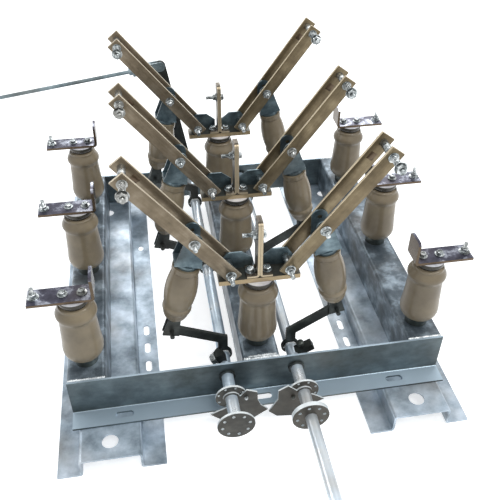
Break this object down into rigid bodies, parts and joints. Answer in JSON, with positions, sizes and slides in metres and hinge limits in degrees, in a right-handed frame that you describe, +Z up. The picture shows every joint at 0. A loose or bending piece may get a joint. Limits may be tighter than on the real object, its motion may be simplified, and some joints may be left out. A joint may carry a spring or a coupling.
{
  "type": "three-pole two-way knife disconnector",
  "caption": "Indoor high-voltage disconnector: porcelain posts on a welded steel frame, with pairs of copper knife blades that swing outwards from the centre posts.",
  "frame": {"origin": "on the floor, straight below the middle centre post", "axes": "+X to the right across the poles' contacts, +Y to the back along the shafts, +Z up"},
  "size_m": [0.8887, 1.052, 0.5245],
  "materials": {
    "frame_steel": "zinc-plated folded sheet, streaked and dull",
    "dull_iron": "dark zinc-plated iron",
    "porcelain": "glossy taupe glaze",
    "plated_copper": "tin-plated copper bar",
    "bare_copper": "dull copper bar with brown edges",
    "dark_steel": "dark blue-grey passivated steel plate",
    "bright_zinc": "bright zinc-plated steel"
  },
  "bodies": {
    "frame": {"back_cross_beam": "frame_steel", "back_hinge_bracket": "plated_copper", "back_terminal": "plated_copper", "centre_insulator_beam": "frame_steel", "centre_post_insulators": "porcelain", "front_cross_beam": "frame_steel", "front_hinge_bracket": "plated_copper", "front_terminal": "plated_copper", "hinge_ears": "dark_steel", "left_hat_rail": "frame_steel", "left_insulator_beam": "frame_steel", "left_outer_contacts": "plated_copper", "left_post_insulators": "porcelain", "middle_hinge_bracket": "plated_copper", "middle_terminal": "plated_copper", "post_base_caps": "dull_iron", "post_top_inserts": "dull_iron", "right_hat_rail": "frame_steel", "right_insulator_beam": "frame_steel", "right_outer_contacts": "plated_copper", "right_post_insulators": "porcelain", "shaft_bushes": "dull_iron"},
    "left_shaft": {"left_shaft_tube": "bright_zinc", "left_levers": "dark_steel", "left_stop_lug": "dark_steel", "left_lock_plate": "dark_steel", "left_drive_discs": "dark_steel", "back_lever": "dark_steel"},
    "right_shaft": {"right_shaft_tube": "bright_zinc", "right_levers": "dark_steel", "right_stop_lug": "dark_steel", "right_lock_plate": "dark_steel", "right_drive_discs": "dark_steel", "handle_flange": "dark_steel", "handle_tube": "bright_zinc"},
    "left_blades": {"left_blade_bars": "bare_copper", "left_blade_bolts": "bright_zinc"},
    "right_blades": {"right_blade_bars": "bare_copper", "right_blade_bolts": "bright_zinc"},
    "left_links": {"left_upper_forks": "dark_steel", "left_link_insulators": "porcelain", "left_lower_forks": "dark_steel"},
    "right_links": {"right_upper_forks": "dark_steel", "right_link_insulators": "porcelain", "right_lower_forks": "dark_steel"},
    "drive_rod": {"drive_rod": "bright_zinc"}
  },
  "joints": [
    {"name": "left_shaft_turn", "type": "hinge", "parent": "frame", "child": "left_shaft", "pos_m": [-0.064, 0, 0.092], "axis": [0, 1, 0], "range_deg": [-38.21, 0]},
    {"name": "right_shaft_turn", "type": "hinge", "parent": "frame", "child": "right_shaft", "pos_m": [0.064, 0, 0.092], "axis": [0, 1, 0], "range_deg": [0, 40.56]},
    {"name": "left_blades_swing", "type": "hinge", "parent": "frame", "child": "left_blades", "pos_m": [-0.05, 0, 0.302], "axis": [0, 1, 0], "range_deg": [-51.8, 0]},
    {"name": "right_blades_swing", "type": "hinge", "parent": "frame", "child": "right_blades", "pos_m": [0.05, 0, 0.302], "axis": [0, 1, 0], "range_deg": [0, 54.2]},
    {"name": "left_links_pivot", "type": "hinge", "parent": "left_blades", "child": "left_links", "pos_m": [-0.10751, 0, 0.37509], "axis": [0, 1, 0], "range_deg": [0, 50.33]},
    {"name": "right_links_pivot", "type": "hinge", "parent": "right_blades", "child": "right_links", "pos_m": [0.1044, 0, 0.37743], "axis": [0, 1, 0], "range_deg": [-54.42, 0]},
    {"name": "drive_rod_pivot", "type": "hinge", "parent": "left_shaft", "child": "drive_rod", "pos_m": [-0.117, 0.4, 0.382], "axis": [0, 1, 0], "range_deg": [0, 38.21]}
  ],
  "couplings": [
    {"joint": "left_blades_swing", "follows": "left_shaft_turn", "ratio": 1.3555},
    {"joint": "left_links_pivot", "follows": "left_shaft_turn", "ratio": -1.317},
    {"joint": "drive_rod_pivot", "follows": "left_shaft_turn", "ratio": -1},
    {"joint": "right_blades_swing", "follows": "right_shaft_turn", "ratio": 1.3361},
    {"joint": "right_links_pivot", "follows": "right_shaft_turn", "ratio": -1.3415}
  ]
}
